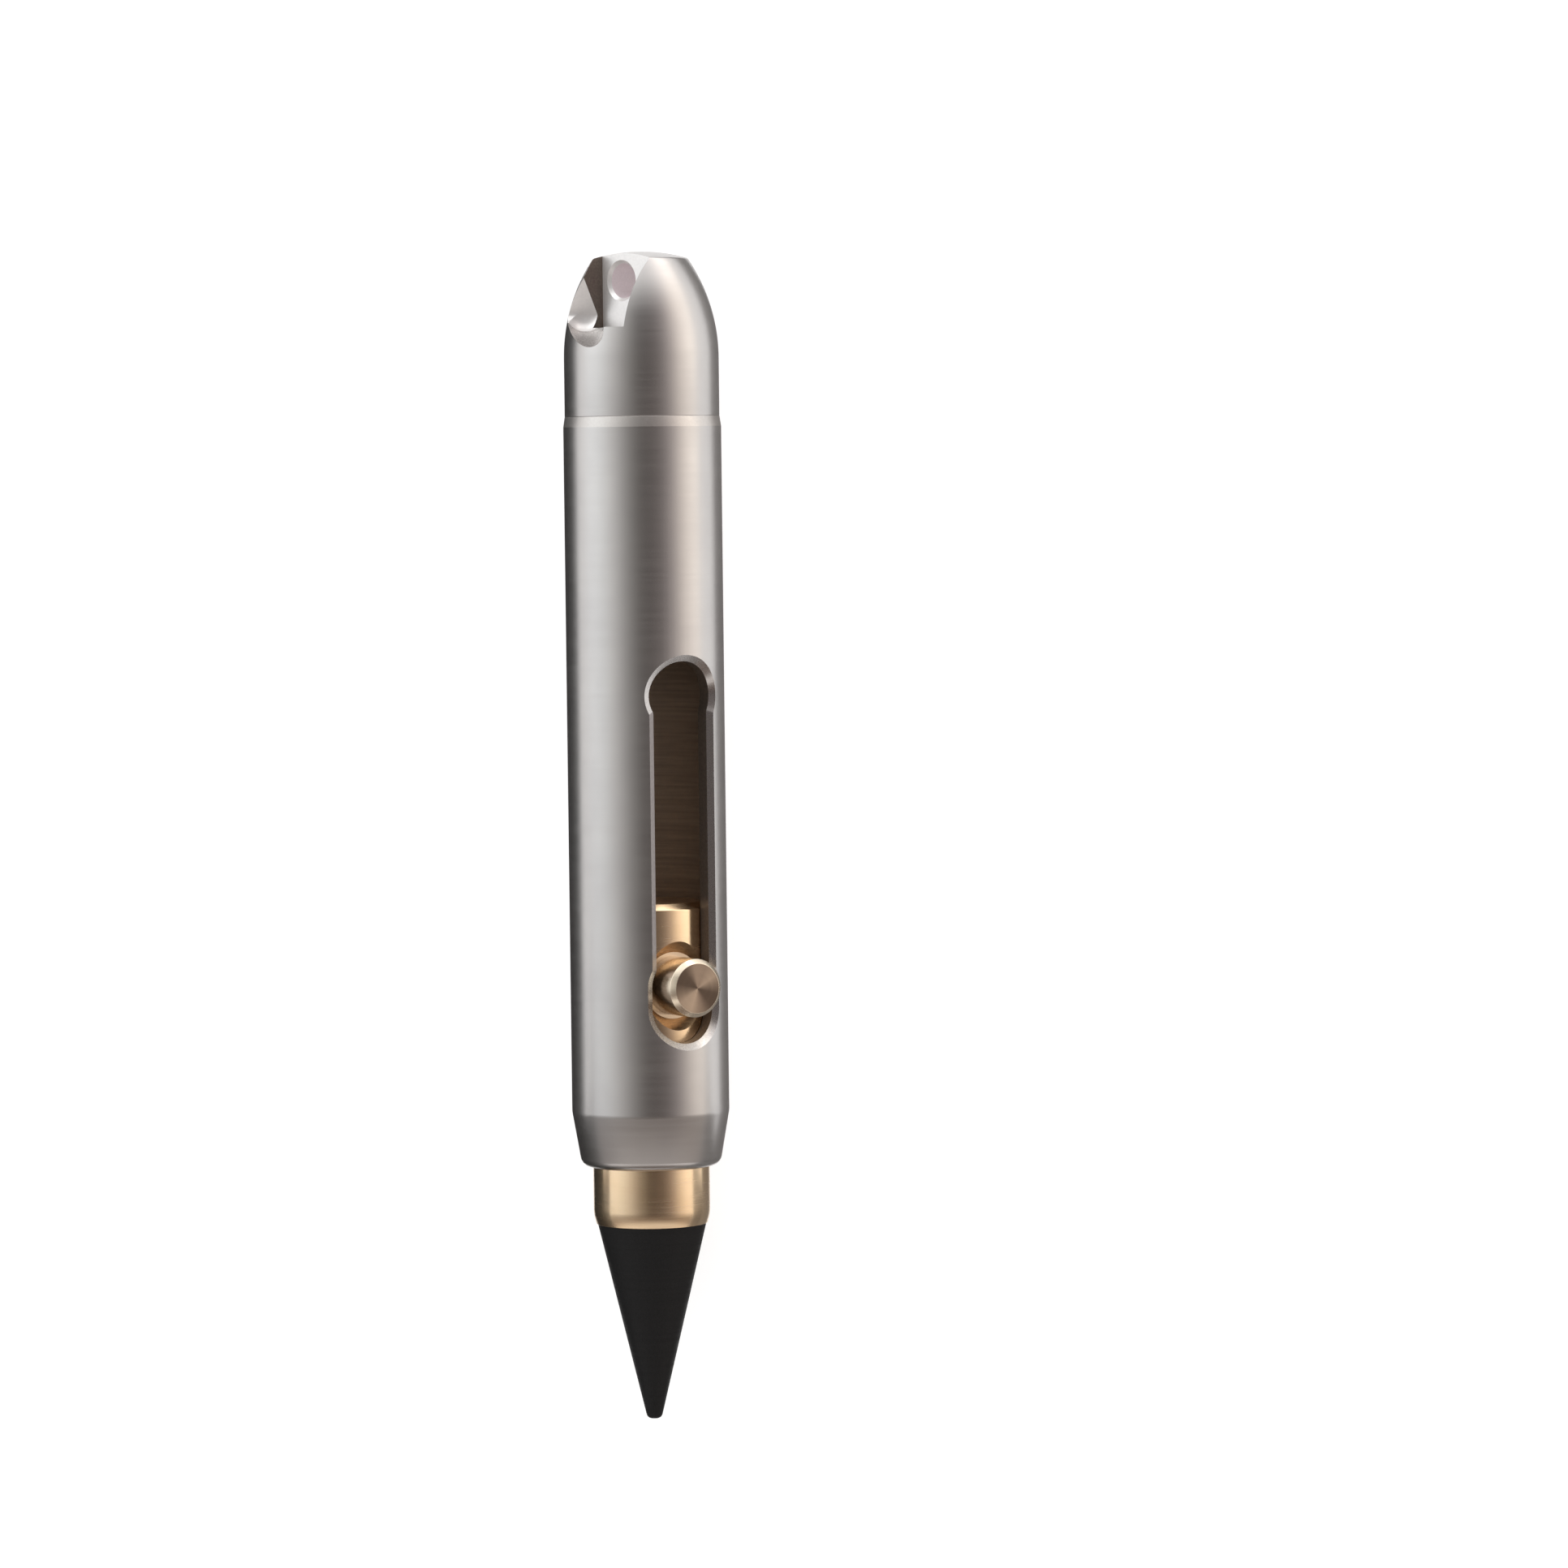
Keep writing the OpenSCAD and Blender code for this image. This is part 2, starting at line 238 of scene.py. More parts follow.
def bored_titanium():
    finish, tree, shader, place = new_finish("bored_titanium")
    lines = grain(tree, place, 6000, turned_stretch, detail=4)
    wire(tree, shader, {
        "Metallic": 0.7,
        "Base Color": two_tones(tree, lines, (0.46, 0.37, 0.29), (0.36, 0.28, 0.215)),
        "Roughness": spread(tree, lines, 0.45, 0.60),
    })
    return finish


satin = satin_titanium()
bored = bored_titanium()
cut_edge = milled_titanium("cut_edge", 1.0, (0.62, 0.60, 0.585), (0.57, 0.545, 0.535), 0.24)
# Painted shade: a dimmer copy of the cut edge, for the slot's bevel on its shaded side.
painted_shade_bevel = milled_titanium("painted_shade_bevel", 1.0, (0.35, 0.32, 0.315), (0.31, 0.285, 0.28), 0.30)
# Painted light: broad milled faces are pale and less metallic, so they look bright whatever they face.
pale_face_painted_light = milled_titanium("pale_face_painted_light", 0.62, (0.97, 0.955, 0.945), (0.92, 0.905, 0.90), 0.36)
# Painted shade: steep milled walls are a dark brown, as if they lay in shade.
dark_wall_painted_shade = milled_titanium("dark_wall_painted_shade", 0.7, (0.20, 0.165, 0.14), (0.15, 0.122, 0.104), 0.42)
# Painted light: the hole's wall is a pale greyish pink, the light seen in it.
painted_light_hole = milled_titanium("painted_light_hole", 0.25, (0.97, 0.90, 0.92), (0.91, 0.84, 0.86), 0.50)
# Painted highlight: a paler copy of the satin, for the bevel at the joint.
painted_highlight_joint = milled_titanium("painted_highlight_joint", 0.94, (0.655, 0.63, 0.61), (0.625, 0.60, 0.58), 0.32)
print("titanium:", len(bpy.data.materials), "finishes")

# %% [markdown]
# ## Brass, graphite and rubber
#
# The slide is bright turned brass: its lines run round it, so the light is drawn out along the pencil.
# The shader's anisotropy does that, with the tangent along X. The knob was faced on a lathe about its own
# axis, so its tangent points out from its middle, and a ramp by the angle round that axis paints the bow tie
# of light and dark sectors that a faced disc reflects, a painted reflection. The knob's rim is painted paler
# as a highlight, and the seat under it painted darker as shade.
# The nib is a pressed graphite alloy, matte and faintly speckled, and the drag rings are black rubber.

# %% Brass, graphite and rubber finishes
bolt_lean = radians(31.7)
bolt_foot = Vector((bolt_x, 0, axis_z))


def turned_brass(name, light, dark):
    finish, tree, shader, place = new_finish(name)
    lines = grain(tree, place, 6500, turned_stretch, detail=4)
    stain = grain(tree, place, 380, detail=2)
    tangent = add(tree, "ShaderNodeCombineXYZ", {"X": 1.0}).outputs["Vector"]
    wire(tree, shader, {
        "Metallic": 1.0,
        "Base Color": two_tones(tree, stain, light, dark),
        "Roughness": spread(tree, lines, 0.20, 0.28),
        "Normal": relief(tree, lines, 0.10, 0.006 * MM),
        "Anisotropic": 0.5,
        "Tangent": tangent,
    })
    return finish


def ramp(tree, value, stops):
    """A colour that follows a value through stops, each a value and its colour."""
    low, high = stops[0][0], stops[-1][0]
    limits = {"Value": value, "From Min": low, "From Max": high}
    share = add(tree, "ShaderNodeMapRange", limits).outputs["Result"]
    made = add(tree, "ShaderNodeValToRGB", {"Fac": share})
    for place, colour in stops[1:-1]:
        made.color_ramp.elements.new((place - low) / (high - low)).color = (*colour, 1)
    made.color_ramp.elements[0].color = (*stops[0][1], 1)
    made.color_ramp.elements[-1].color = (*stops[-1][1], 1)
    return made.outputs["Color"]


# Painted reflection: tones of the knob's face by the angle round its axis, the light and dark sectors of a
# bow tie.
painted_light_tone = (0.50, 0.385, 0.29)
painted_dark_tone = (0.185, 0.135, 0.10)
painted_mid_tone = (0.33, 0.25, 0.19)
painted_bow_tones = [(-180, painted_mid_tone), (-140, painted_dark_tone), (-105, painted_dark_tone), (-60, painted_light_tone), (-25, painted_mid_tone),
           (10, painted_mid_tone), (40, painted_dark_tone), (75, painted_dark_tone), (125, painted_light_tone), (160, painted_light_tone),
           (180, painted_mid_tone)]


def in_radians(stops):
    """The same stops, with their angles turned from degrees to radians."""
    return [(radians(degrees), colour) for degrees, colour in stops]


# The knob's face: rings in its roughness, and a bow tie of light and dark sectors painted into its colour.
def sector_painted_brass():
    finish, tree, shader, place = new_finish("sector_painted_brass")
    lean = (bolt_lean, 0, 0)
    own = add(tree, "ShaderNodeMapping", {"Vector": place, "Location": bolt_foot, "Rotation": lean},
              vector_type="TEXTURE").outputs["Vector"]
    flat = add(tree, "ShaderNodeVectorMath", {0: own, 1: (1, 1, 0)}, operation="MULTIPLY").outputs["Vector"]
    outward = add(tree, "ShaderNodeMapping", {"Vector": flat, "Rotation": lean},
                  vector_type="VECTOR").outputs["Vector"]
    radius = add(tree, "ShaderNodeVectorMath", {0: flat}, operation="LENGTH").outputs["Value"]
    rings = add(tree, "ShaderNodeTexNoise", {"W": radius, "Scale": 5200, "Detail": 3},
                noise_dimensions="1D").outputs["Fac"]
    flat_parts = add(tree, "ShaderNodeSeparateXYZ", {0: flat}).outputs
    round_face = add(tree, "ShaderNodeMath", {0: flat_parts["Y"], 1: flat_parts["X"]},
                     operation="ARCTAN2").outputs[0]
    wire(tree, shader, {
        "Metallic": 1.0,
        "Base Color": ramp(tree, round_face, in_radians(painted_bow_tones)),
        "Roughness": spread(tree, rings, 0.36, 0.44),
        "Normal": relief(tree, rings, 0.05, 0.004 * MM),
        "Anisotropic": 0.95,
        "Tangent": outward,
    })
    return finish


def matte_graphite():
    finish, tree, shader, place = new_finish("matte_graphite")
    speckle = grain(tree, place, 14000, detail=5)
    lines = grain(tree, place, 3800, turned_stretch)
    wire(tree, shader, {
        "Base Color": two_tones(tree, speckle, (0.008, 0.008, 0.0085), (0.014, 0.014, 0.0145)),
        "Roughness": spread(tree, lines, 0.50, 0.64),
        "Normal": relief(tree, speckle, 0.25, 0.008 * MM),
        "Specular IOR Level": 0.22,
    })
    return finish


def moulded_rubber():
    finish, tree, shader, place = new_finish("moulded_rubber")
    bloom = grain(tree, place, 5000, detail=4)
    wire(tree, shader, {
        "Base Color": two_tones(tree, bloom, (0.022, 0.022, 0.022), (0.036, 0.035, 0.034)),
        "Roughness": spread(tree, bloom, 0.48, 0.66),
        "Normal": relief(tree, bloom, 0.15, 0.006 * MM),
    })
    return finish


brass = turned_brass("turned_brass", (0.92, 0.71, 0.48), (0.87, 0.645, 0.415))
# Painted highlight: a paler copy of the turned brass, for the knob's rim and side.
painted_highlight_brass = turned_brass("painted_highlight_brass", (0.97, 0.85, 0.68), (0.93, 0.80, 0.62))
# Painted shade: a darker copy of the turned brass, for the seat under the knob.
painted_shade_brass = turned_brass("painted_shade_brass", (0.66, 0.52, 0.38), (0.61, 0.47, 0.335))
knob_painted_tones = sector_painted_brass()
graphite = matte_graphite()
rubber = moulded_rubber()
print("brass and black:", brass.name, knob_painted_tones.name, graphite.name, rubber.name)

# %% [markdown]
# ## Turning a piece
#
# Nearly everything here comes off a lathe, so nearly every mesh is made as on one. A plane is added and
# merged to one point, the point is extruded along the half section, and the line is spun once round.
# Corners are rounded by short arcs, because a real edge always catches a line of light and a knife-sharp
# one never does.

# %% Helpers for turning
merge_gap = 0.0001 * MM
turn_steps = 240
drill_sides = 96
crease = radians(28)
square_on = 0.98


def start_piece(name):
    """An empty mesh at the origin, open in edit mode."""
    bpy.ops.object.select_all(action="DESELECT")
    bpy.ops.mesh.primitive_plane_add(size=MM)
    bpy.context.object.name = name
    bpy.ops.object.mode_set(mode="EDIT")
    bpy.ops.mesh.select_all(action="SELECT")
    bpy.ops.mesh.delete(type="VERT")


def draw(points):
    """A line of edges, drawn by extruding one point from place to place."""
    bpy.ops.mesh.select_all(action="DESELECT")
    bpy.ops.mesh.primitive_plane_add(size=MM, location=points[0])
    bpy.ops.mesh.merge(type="CENTER")
    for here, there in zip(points, points[1:]):
        bpy.ops.mesh.extrude_vertices_move(TRANSFORM_OT_translate={"value": there - here})


def end_piece():
    """Merges doubles, points the faces outwards and leaves edit mode."""
    bpy.ops.mesh.select_all(action="SELECT")
    bpy.ops.mesh.remove_doubles(threshold=merge_gap)
    bpy.ops.mesh.normals_make_consistent(inside=False)
    bpy.ops.object.mode_set(mode="OBJECT")
    return bpy.context.object


def corner_arc(before, corner, after, radius, steps=5):
    """The points of an arc that rounds one corner."""
    to_before = (before - corner).normalized()
    to_after = (after - corner).normalized()
    half = to_before.angle(to_after) / 2
    middle = corner + (to_before + to_after).normalized() * (radius / sin(half))
    start = corner + to_before * (radius / tan(half)) - middle
    end = corner + to_after * (radius / tan(half)) - middle
    return [middle + start.lerp(end, i / steps).normalized() * radius for i in range(steps + 1)]


def rounded(corners, closed):
    """A half section from corners (place, radius, rounding), as points along the line."""
    spots = [Vector(corner[:2]) for corner in corners]
    points = []
    for i, (spot, corner) in enumerate(zip(spots, corners)):
        if corner[2] == 0:
            points.append(spot)
        else:
            points += corner_arc(spots[i - 1], spot, spots[(i + 1) % len(spots)], corner[2])
    return points + points[:1] if closed else points


def turned(name, section, centre=axis_point, along=tailward, across=upward):
    """A turned solid: its half section is drawn and spun round the axis."""
    start_piece(name)
    draw([centre + along * spot.x + across * spot.y for spot in section])
    bpy.ops.mesh.select_all(action="SELECT")
    bpy.ops.mesh.spin(steps=turn_steps, angle=2 * pi, center=centre, axis=along)
    return end_piece()


print("turning helpers ready")

# %% [markdown]
# ## Milling a piece
#
# Slots and pockets are milled after turning. A cutter is lofted: the same outline is drawn at several
# heights, the loops are bridged and the ends are filled. A boolean then takes the cutter out of the piece,
# and the fresh faces keep the cutter's own finish, which is how a milled edge gets its brighter look.

# %% Helpers for milling
def lofted(name, loops):
    """A closed solid through loops that have equally many points."""
    start_piece(name)
    for loop in loops:
        draw(loop + loop[:1])
    bpy.ops.mesh.select_all(action="SELECT")
    bpy.ops.mesh.remove_doubles(threshold=merge_gap)
    bpy.ops.mesh.select_all(action="SELECT")
    bpy.ops.mesh.bridge_edge_loops()
    bpy.ops.mesh.select_all(action="SELECT")
    bpy.ops.mesh.fill_holes(sides=0)
    return end_piece()


def paint(piece, finish, chosen=None):
    """Gives a finish to a whole piece, or to those of its faces that pass a test."""
    piece.data.materials.append(finish)
    for face in piece.data.polygons:
        if chosen is None or chosen(face):
            face.material_index = len(piece.data.materials) - 1


def combine(piece, tool, operation="DIFFERENCE"):
    """Cuts a tool out of a piece, or joins it on, and clears the tool away."""
    bpy.ops.object.select_all(action="DESELECT")
    piece.select_set(True)
    bpy.context.view_layer.objects.active = piece
    modifier = piece.modifiers.new("combine", "BOOLEAN")
    modifier.object = tool
    modifier.operation = operation
    modifier.solver = "EXACT"
    modifier.material_mode = "TRANSFER"
    bpy.ops.object.modifier_apply(modifier=modifier.name)
    bpy.data.objects.remove(tool, do_unlink=True)


def drill(radius, start, way, depth):
    """A round cutter from a point, along a direction."""
    bpy.ops.object.select_all(action="DESELECT")
    bpy.ops.mesh.primitive_cylinder_add(vertices=drill_sides, radius=radius, depth=depth)
    tool = bpy.context.object
    turn = upward.rotation_difference(way).to_matrix().to_4x4()
    tool.data.transform(Matrix.Translation(start + way * depth / 2) @ turn)
    return tool


def hand_over(piece, body, node):
    """Smooths a finished piece and lets it ride and stand for its node."""
    bpy.ops.object.select_all(action="DESELECT")
    piece.select_set(True)
    bpy.context.view_layer.objects.active = piece
    bpy.ops.object.shade_smooth_by_angle(angle=crease)
    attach(piece, body)
    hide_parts(node)
    print(piece.name, "has", len(piece.data.polygons), "faces and rides on", body)


print("milling helpers ready")

# %% [markdown]
# ## The barrel
#
# A tube with a tapered nose, a rounded mouth and a small bevel at the joint with the tail cap. Its half
# section is a closed loop, outside and bore in one line, so the spin gives a real wall. The bore's faces
# are found by their distance from the axis and get the dull finish.

# %% Barrel tube
bore_r = 3.75 * MM
nose_len = 3.5 * MM
nose_taper = 0.6 * MM
nose_round = 0.65 * MM
nose_blend = 1.5 * MM
joint_bevel_len = 0.66 * MM
joint_bevel_depth = 0.1 * MM
cap_thread_len = 5 * MM
cap_bore_r = 4.08 * MM
end_play = 0.2 * MM
fine_round = 0.04 * MM
soft_round = 0.1 * MM

cap_bore_x = joint_x - cap_thread_len - end_play
barrel = turned("barrel_tube", rounded([
    (mouth_x, bore_r, fine_round),
    (mouth_x, barrel_r - nose_taper, nose_round),
    (mouth_x + nose_len, barrel_r, nose_blend),
    (joint_x - joint_bevel_len, barrel_r, soft_round),
    (joint_x, barrel_r - joint_bevel_depth, fine_round / 2),
    (joint_x, cap_bore_r, fine_round),
    (cap_bore_x, cap_bore_r, 0),
    (cap_bore_x, bore_r, 0),
], closed=True))


def off_axis(face):
    """Distance of a face from the pencil's axis."""
    return Vector((face.center.y, face.center.z - axis_z)).length


def in_bore(face):
    return off_axis(face) < cap_bore_r and mouth_x + fine_round < face.center.x < joint_x


def on_joint_bevel(face):
    return face.center.x > joint_x - joint_bevel_len and off_axis(face) > cap_bore_r


paint(barrel, satin)
paint(barrel, bored, in_bore)
# The joint bevel is painted paler as a highlight.
paint(barrel, painted_highlight_joint, on_joint_bevel)
print("barrel faces before the slot:", len(barrel.data.polygons))

# %% [markdown]
# ## The bolt's slot
#
# The slot is straight, with a round seat at each end where a turned bolt stays put. Its edge has a bevel of
# even width all the way round, although the barrel curves away under it. So the cutter's loops follow the
# barrel: each point of the outline is lifted to the height that the round surface has there.

# %% Slot outline
bolt_out = Vector((0, -sin(bolt_lean), cos(bolt_lean)))
bolt_side = tailward.cross(bolt_out)
slot_r = 1.93 * MM
seat_r = 2.19 * MM
neck_round = 0.6 * MM
front_steps = 14
neck_steps = 6
stow_steps = 24
seat_run = -slide["range_m"][0]
stow_x = bolt_x + slide["range_m"][1]

neck_reach = sqrt((seat_r + neck_round) ** 2 - (slot_r + neck_round) ** 2)
neck_turn = atan2(slot_r + neck_round, neck_reach)


def arc(middle, radius, start, end, steps):
    """Points of an arc in the slot's own plane, along the pencil and across it."""
    turns = [start + (end - start) * i / steps for i in range(steps + 1)]
    return [middle + Vector((cos(turn), sin(turn))) * radius for turn in turns]


def slot_outline(grow):
    """The slot's outline, widened all round by grow."""
    front = Vector((bolt_x, 0))
    stow = Vector((stow_x, 0))
    front_neck = front + Vector((neck_reach, slot_r + neck_round))
    stow_neck = stow + Vector((-neck_reach, slot_r + neck_round))
    half = arc(front - Vector((seat_run, 0)), seat_r + grow, pi, pi / 2, front_steps)
    half += arc(front, seat_r + grow, pi / 2, neck_turn, neck_steps)
    half += arc(front_neck, neck_round - grow, pi + neck_turn, 1.5 * pi, neck_steps)
    half += arc(stow_neck, neck_round - grow, -pi / 2, -neck_turn, neck_steps)
    half += arc(stow, seat_r + grow, pi - neck_turn, 0, stow_steps)
    mirrored = [Vector((spot.x, -spot.y)) for spot in reversed(half[1:-1])]
    return half + mirrored


print("slot from", round((bolt_x - seat_run - seat_r) / MM, 2), "to", round((stow_x + seat_r) / MM, 2), "mm")

# %% Mill the slot
slot_bevel = 0.4 * MM
cutter_spare = 0.15 * MM
cutter_foot = bore_r / 2
cutter_top = 1.4 * barrel_r
wall_lean = 0.2
inner_lean = 0.4


def slot_loop(grow, height):
    """One loop of the slot's cutter; height gives how far off the axis a point of it lies."""
    return [axis_point + tailward * spot.x + bolt_side * spot.y + bolt_out * height(spot.y)
            for spot in slot_outline(grow)]


def skin(across):
    """Height of the barrel's surface over its axis, this far to the side of the slot's middle."""
    return sqrt(barrel_r ** 2 - across ** 2)


slot_cutter = lofted("slot_cutter", [
    slot_loop(0, lambda across: cutter_foot),
    slot_loop(0, lambda across: skin(across) - slot_bevel),
    slot_loop(slot_bevel + cutter_spare, lambda across: skin(across) + cutter_spare),
    slot_loop(slot_bevel + cutter_spare, lambda across: cutter_top),
])


def on_slot_bevel(face):
    return wall_lean < abs(face.normal.dot(bolt_out)) < square_on


def on_inner_bevel(face):
    return on_slot_bevel(face) and face.normal.dot(bolt_side) < -inner_lean


# The slot's walls are painted dark as shade.
paint(slot_cutter, dark_wall_painted_shade)
paint(slot_cutter, cut_edge, on_slot_bevel)
# One side's bevel is painted dimmer as shade.
paint(slot_cutter, painted_shade_bevel, on_inner_bevel)
combine(barrel, slot_cutter)
hand_over(barrel, "barrel", "barrel")

# %% [markdown]
# ## The tail cap
#
# The cap screws into the barrel, so it has a hidden thread, a straight side and a dome that is an arc in its
# half section, with a slightly crowned top. Pockets milled into the dome leave a web between them, and a
# hole through the web takes a cord.

# %% Tail cap
cap_r = 4.9 * MM
cap_bevel = 0.02 * MM
cap_thread_r = 4.05 * MM
cap_thread_depth = 0.3 * MM
cap_pitch = 0.75 * MM
cap_turns = 6
dome_len = 6.7 * MM
top_r = 2.7 * MM
top_crown = 0.35 * MM
top_round = 0.3 * MM
dome_steps = 24
crown_steps = 8
crown_inset = 1.3 * top_round
crest_start = 0.4
crest_end = 0.6

dome_x = tail_x - dome_len
dome_drop = cap_r - top_r
dome_arc_r = (dome_len ** 2 + dome_drop ** 2) / (2 * dome_drop)


def thread_rings(start, crest, depth, pitch, turns):
    """Corners of a hidden thread's half section, one crest to each pitch."""
    corners = [(start, crest - depth, 0)]
    for i in range(turns):
        corners += [(start + (i + crest_start) * pitch, crest, 0),
                    (start + (i + crest_end) * pitch, crest, 0),
                    (start + (i + 1) * pitch, crest - depth, 0)]
    return corners


def dome_radius(x):
    """Radius of the dome at this place along the pencil."""
    return cap_r - dome_arc_r + sqrt(dome_arc_r ** 2 - (x - dome_x) ** 2)


def crown_height(radius):
    """Place along the pencil of the crowned top, this far from the axis."""
    arc_r = (top_r ** 2 + top_crown ** 2) / (2 * top_crown)
    return tail_x - arc_r + sqrt(arc_r ** 2 - radius ** 2)


# The dome and the crown meet where both give the same place; a few rounds settle it.
edge_x = tail_x - top_crown
for _ in range(20):
    edge_x = crown_height(dome_radius(edge_x))
dome_stops = [dome_x + (edge_x - top_round - dome_x) * i / dome_steps for i in range(dome_steps + 1)]
crown_r = dome_radius(edge_x) - crown_inset
crown_stops = [crown_r * (1 - i / crown_steps) for i in range(crown_steps + 1)]
tail = turned("tail_dome", rounded([
    (joint_x - cap_thread_len, 0, 0),
    *thread_rings(joint_x - cap_thread_len, cap_thread_r, cap_thread_depth, cap_pitch, cap_turns),
    (joint_x, cap_thread_r - cap_thread_depth, 0),
    (joint_x, cap_r - cap_bevel, 0),
    (joint_x + cap_bevel, cap_r, fine_round),
    *[(x, dome_radius(x), 0) for x in dome_stops],
    (edge_x, dome_radius(edge_x), top_round),
    *[(crown_height(radius), radius, 0) for radius in crown_stops],
], closed=False))
paint(tail, satin)
print("dome arc", round(dome_arc_r / MM, 2), "mm")

# %% [markdown]
# ## Pockets and hole
#
# Two mills cut each pocket. The first works square to the web and leaves its flat face with a steep wall on
# either side. The second comes from straight above, tilted towards the tip, and scoops out the skin beside
# the lower wall, with a rounded foot. The far pocket is the same cut, half a turn round the axis. The hole
# through the web has a small bevel at both ends.

# %% Mill the pockets and the hole
pocket_lean = radians(45)
web_t = 3.3 * MM
pocket_len = 4.8 * MM
pocket_top_wall = 2.58 * MM
pocket_low_wall = 1.72 * MM
scoop_r = 1.25 * MM
scoop_off = 3.5 * MM
scoop_open = 0.6 * MM
scoop_tilt = radians(19.3)
scoop_round = 1.0 * MM
scoop_steps = 40
# Scoop faces turned at least this far towards the cutter's way out get the frost and the pale painted light.
foot_steps = 6
scoop_frost_and_painted_light = 0.25
cutter_reach = 8 * MM

open_turn = 2 * pi - acos(scoop_open / scoop_r - 1)


def scoop_plan(inset):
    """The scoop's outline, drawn in by an inset but for its straight side."""
    turns = [pi / 2 + (open_turn - pi / 2) * i / scoop_steps for i in range(scoop_steps + 1)]
    rims = [scoop_r - inset * (-cos(turn) if turn < pi else 1) for turn in turns]
    rim = [Vector((scoop_r + cos(turn) * reach, sin(turn) * reach)) for turn, reach in zip(turns, rims)]
    return [Vector((cutter_reach, scoop_r)), *rim, Vector((scoop_open + inset, -cutter_reach)),
            Vector((cutter_reach, -cutter_reach))]


def web_plan(inset):
    """The flat pocket's outline; its corners stay sharp."""
    return [Vector((cutter_reach, pocket_top_wall)), Vector((0, pocket_top_wall)),
            Vector((0, -pocket_low_wall)), Vector((cutter_reach, -pocket_low_wall))]


def milled(name, plan, foot_round, foot, along, out, walls, frost_and_painted_light):
    """A cutter with a rounded foot, which runs out of the piece; faces near its foot get a frost and a pale
    colour of painted light.
    """
    across = along.cross(out)
    turns = [radians(90) * i / foot_steps for i in range(foot_steps + 1)] if foot_round else [radians(90)]
    steps = [(foot_round * (1 - sin(turn)), foot_round * (1 - cos(turn))) for turn in turns]
    loops = [[foot + along * spot.x + across * spot.y + out * height for spot in plan(inset)]
             for inset, height in steps + [(0, cutter_reach)]]
    tool = lofted(name, loops)
    paint(tool, walls)
    # Faces near the foot get the frost and the pale colour that is painted light.
    paint(tool, pale_face_painted_light, lambda face: abs(face.normal.dot(out)) > frost_and_painted_light)
    return tool


for sign in (1, -1):
    up = upward * sign
    left = Vector((0, sign, 0))
    out = up * cos(pocket_lean) + left * sin(pocket_lean)
    foot = axis_point + tailward * (tail_x - pocket_len)
    scoop_along = tailward * cos(scoop_tilt) + up * sin(scoop_tilt)
    scoop_out = up * cos(scoop_tilt) - tailward * sin(scoop_tilt)
    scoop_foot = foot + left * scoop_off
    combine(tail, milled("scoop_cutter", scoop_plan, scoop_round, scoop_foot, scoop_along, scoop_out,
                         cut_edge, scoop_frost_and_painted_light))
    # The web's walls are painted dark as shade, and its face pale as painted light.
    combine(tail, milled("web_cutter", web_plan, 0, foot + out * web_t / 2, tailward, out,
                         dark_wall_painted_shade, square_on))

hole_bevel = 0.2 * MM
hole_clear = 0.03 * MM
bevel_lean = 0.3
hole = named(frame["record"]["mounts"], "ring_hole")
hole_way = Vector(hole["axis"])
hole_r = hole["dims"]["r_mm"] * MM
hole_end = web_t / 2 + hole_clear
mouth_r = hole_r + hole_bevel + hole_clear
hole_half = [(-hole_end, 0), (-hole_end, mouth_r), (hole_bevel - web_t / 2, hole_r),
             (web_t / 2 - hole_bevel, hole_r), (hole_end, mouth_r), (hole_end, 0)]
hole_cutter = turned("hole_cutter", list(map(Vector, hole_half)), centre=Vector(hole["pos_m"]),
                     along=hole_way, across=tailward)
# The hole is painted pale pink as the light seen in it, and its bevels pale as painted light.
paint(hole_cutter, painted_light_hole)
paint(hole_cutter, pale_face_painted_light, lambda face: abs(face.normal.dot(hole_way)) > bevel_lean)
combine(tail, hole_cutter)
hand_over(tail, "barrel", "tail_cap")

# %% [markdown]
# ## The carriage
#
# The brass slide shows in front of the mouth as a collar and behind the knob in the slot. It has a socket
# for the nib, two grooves for the drag rings and a flat with a hole for the knob. Its half section starts
# on the axis at the socket's floor and ends on the axis at the rear, so the spin closes it.

# %% Carriage
slide_gap = 0.04 * MM
carriage_r = bore_r - slide_gap
nib_gap = 0.05 * MM
shoulder_r = 3.46 * MM
nib_thread_r = 3.18 * MM
spigot_r = 2.88 * MM
back_bevel_len = 0.85 * MM
nib_thread_len = 4.1 * MM
spigot_len = 2.9 * MM
front_bevel_len = 0.62 * MM
front_bevel_depth = 0.17 * MM
front_blend = 2.5 * MM
rear_bevel = 0.4 * MM
groove_w = 1.0 * MM
groove_floor_r = 2.91 * MM

nib_back_x = front_x + back_bevel_len
thread_end_x = nib_back_x + nib_thread_len
spigot_end_x = thread_end_x + spigot_len
socket_end_x = spigot_end_x + end_play
ring_nodes = ("front_drag_ring", "rear_drag_ring")
ring_x = {node: sum(corner.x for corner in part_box(node)) / 2 for node in ring_nodes}


def groove(x):
    """Corners of a groove for a drag ring."""
    low = x - groove_w / 2
    high = x + groove_w / 2
    return [(low, carriage_r, fine_round), (low, groove_floor_r, fine_round),
            (high, groove_floor_r, fine_round), (high, carriage_r, fine_round)]


